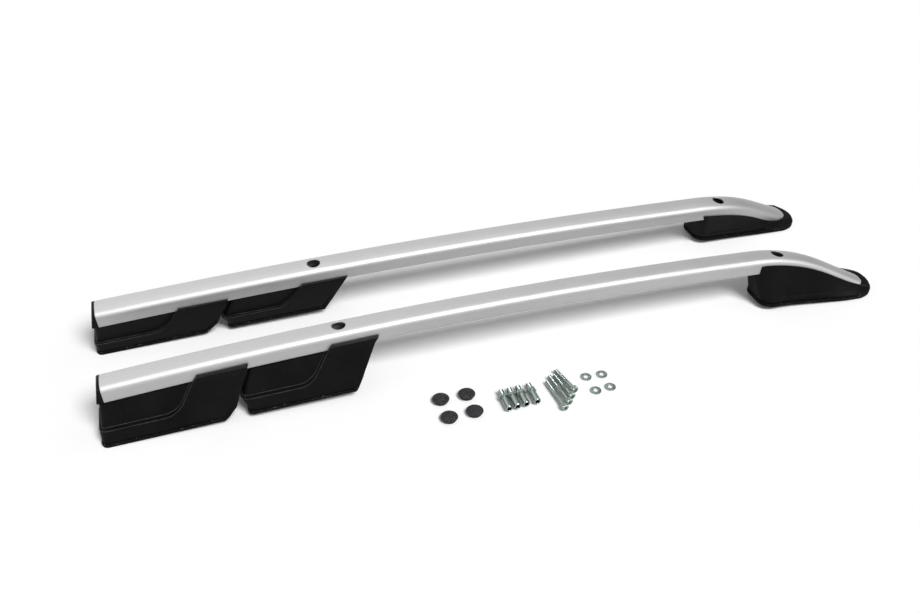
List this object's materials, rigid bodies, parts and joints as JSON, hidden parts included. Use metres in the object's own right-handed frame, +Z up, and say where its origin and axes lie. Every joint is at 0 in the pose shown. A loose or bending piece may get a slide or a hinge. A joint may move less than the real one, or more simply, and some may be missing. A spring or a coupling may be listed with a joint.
{
  "type": "pair of roof side rails",
  "caption": "Pair of raised aluminium roof side rails on black moulded feet, lying with their loose mounting fixings.",
  "frame": {"origin": "middle of the whole set's base on the floor", "axes": "+X forward along the rails, +Y towards the left rail, +Z up"},
  "size_m": [1.2, 0.3964, 0.0919],
  "materials": {
    "anodised_aluminium": "satin",
    "black_plastic": "matte",
    "black_rubber": "matte",
    "zinc_steel": "satin"
  },
  "bodies": {
    "root": {"right_rail": "anodised_aluminium", "right_rear_end_cap": "black_plastic", "right_rear_foot": "black_plastic", "right_middle_foot": "black_plastic", "right_front_foot": "black_plastic", "right_rear_pad": "black_rubber", "right_middle_pad": "black_rubber", "right_front_pad": "black_rubber", "right_mounting_bushes": "zinc_steel", "right_clamp_plates": "zinc_steel", "right_clamp_screws": "zinc_steel", "left_rail": "anodised_aluminium", "left_rear_end_cap": "black_plastic", "left_rear_foot": "black_plastic", "left_middle_foot": "black_plastic", "left_front_foot": "black_plastic", "left_rear_pad": "black_rubber", "left_middle_pad": "black_rubber", "left_front_pad": "black_rubber", "left_mounting_bushes": "zinc_steel", "left_clamp_plates": "zinc_steel", "left_clamp_screws": "zinc_steel", "hole_plugs": "black_plastic", "threaded_standoffs": "zinc_steel", "cap_screws": "zinc_steel", "flat_washers": "zinc_steel"}
  },
  "joints": []
}
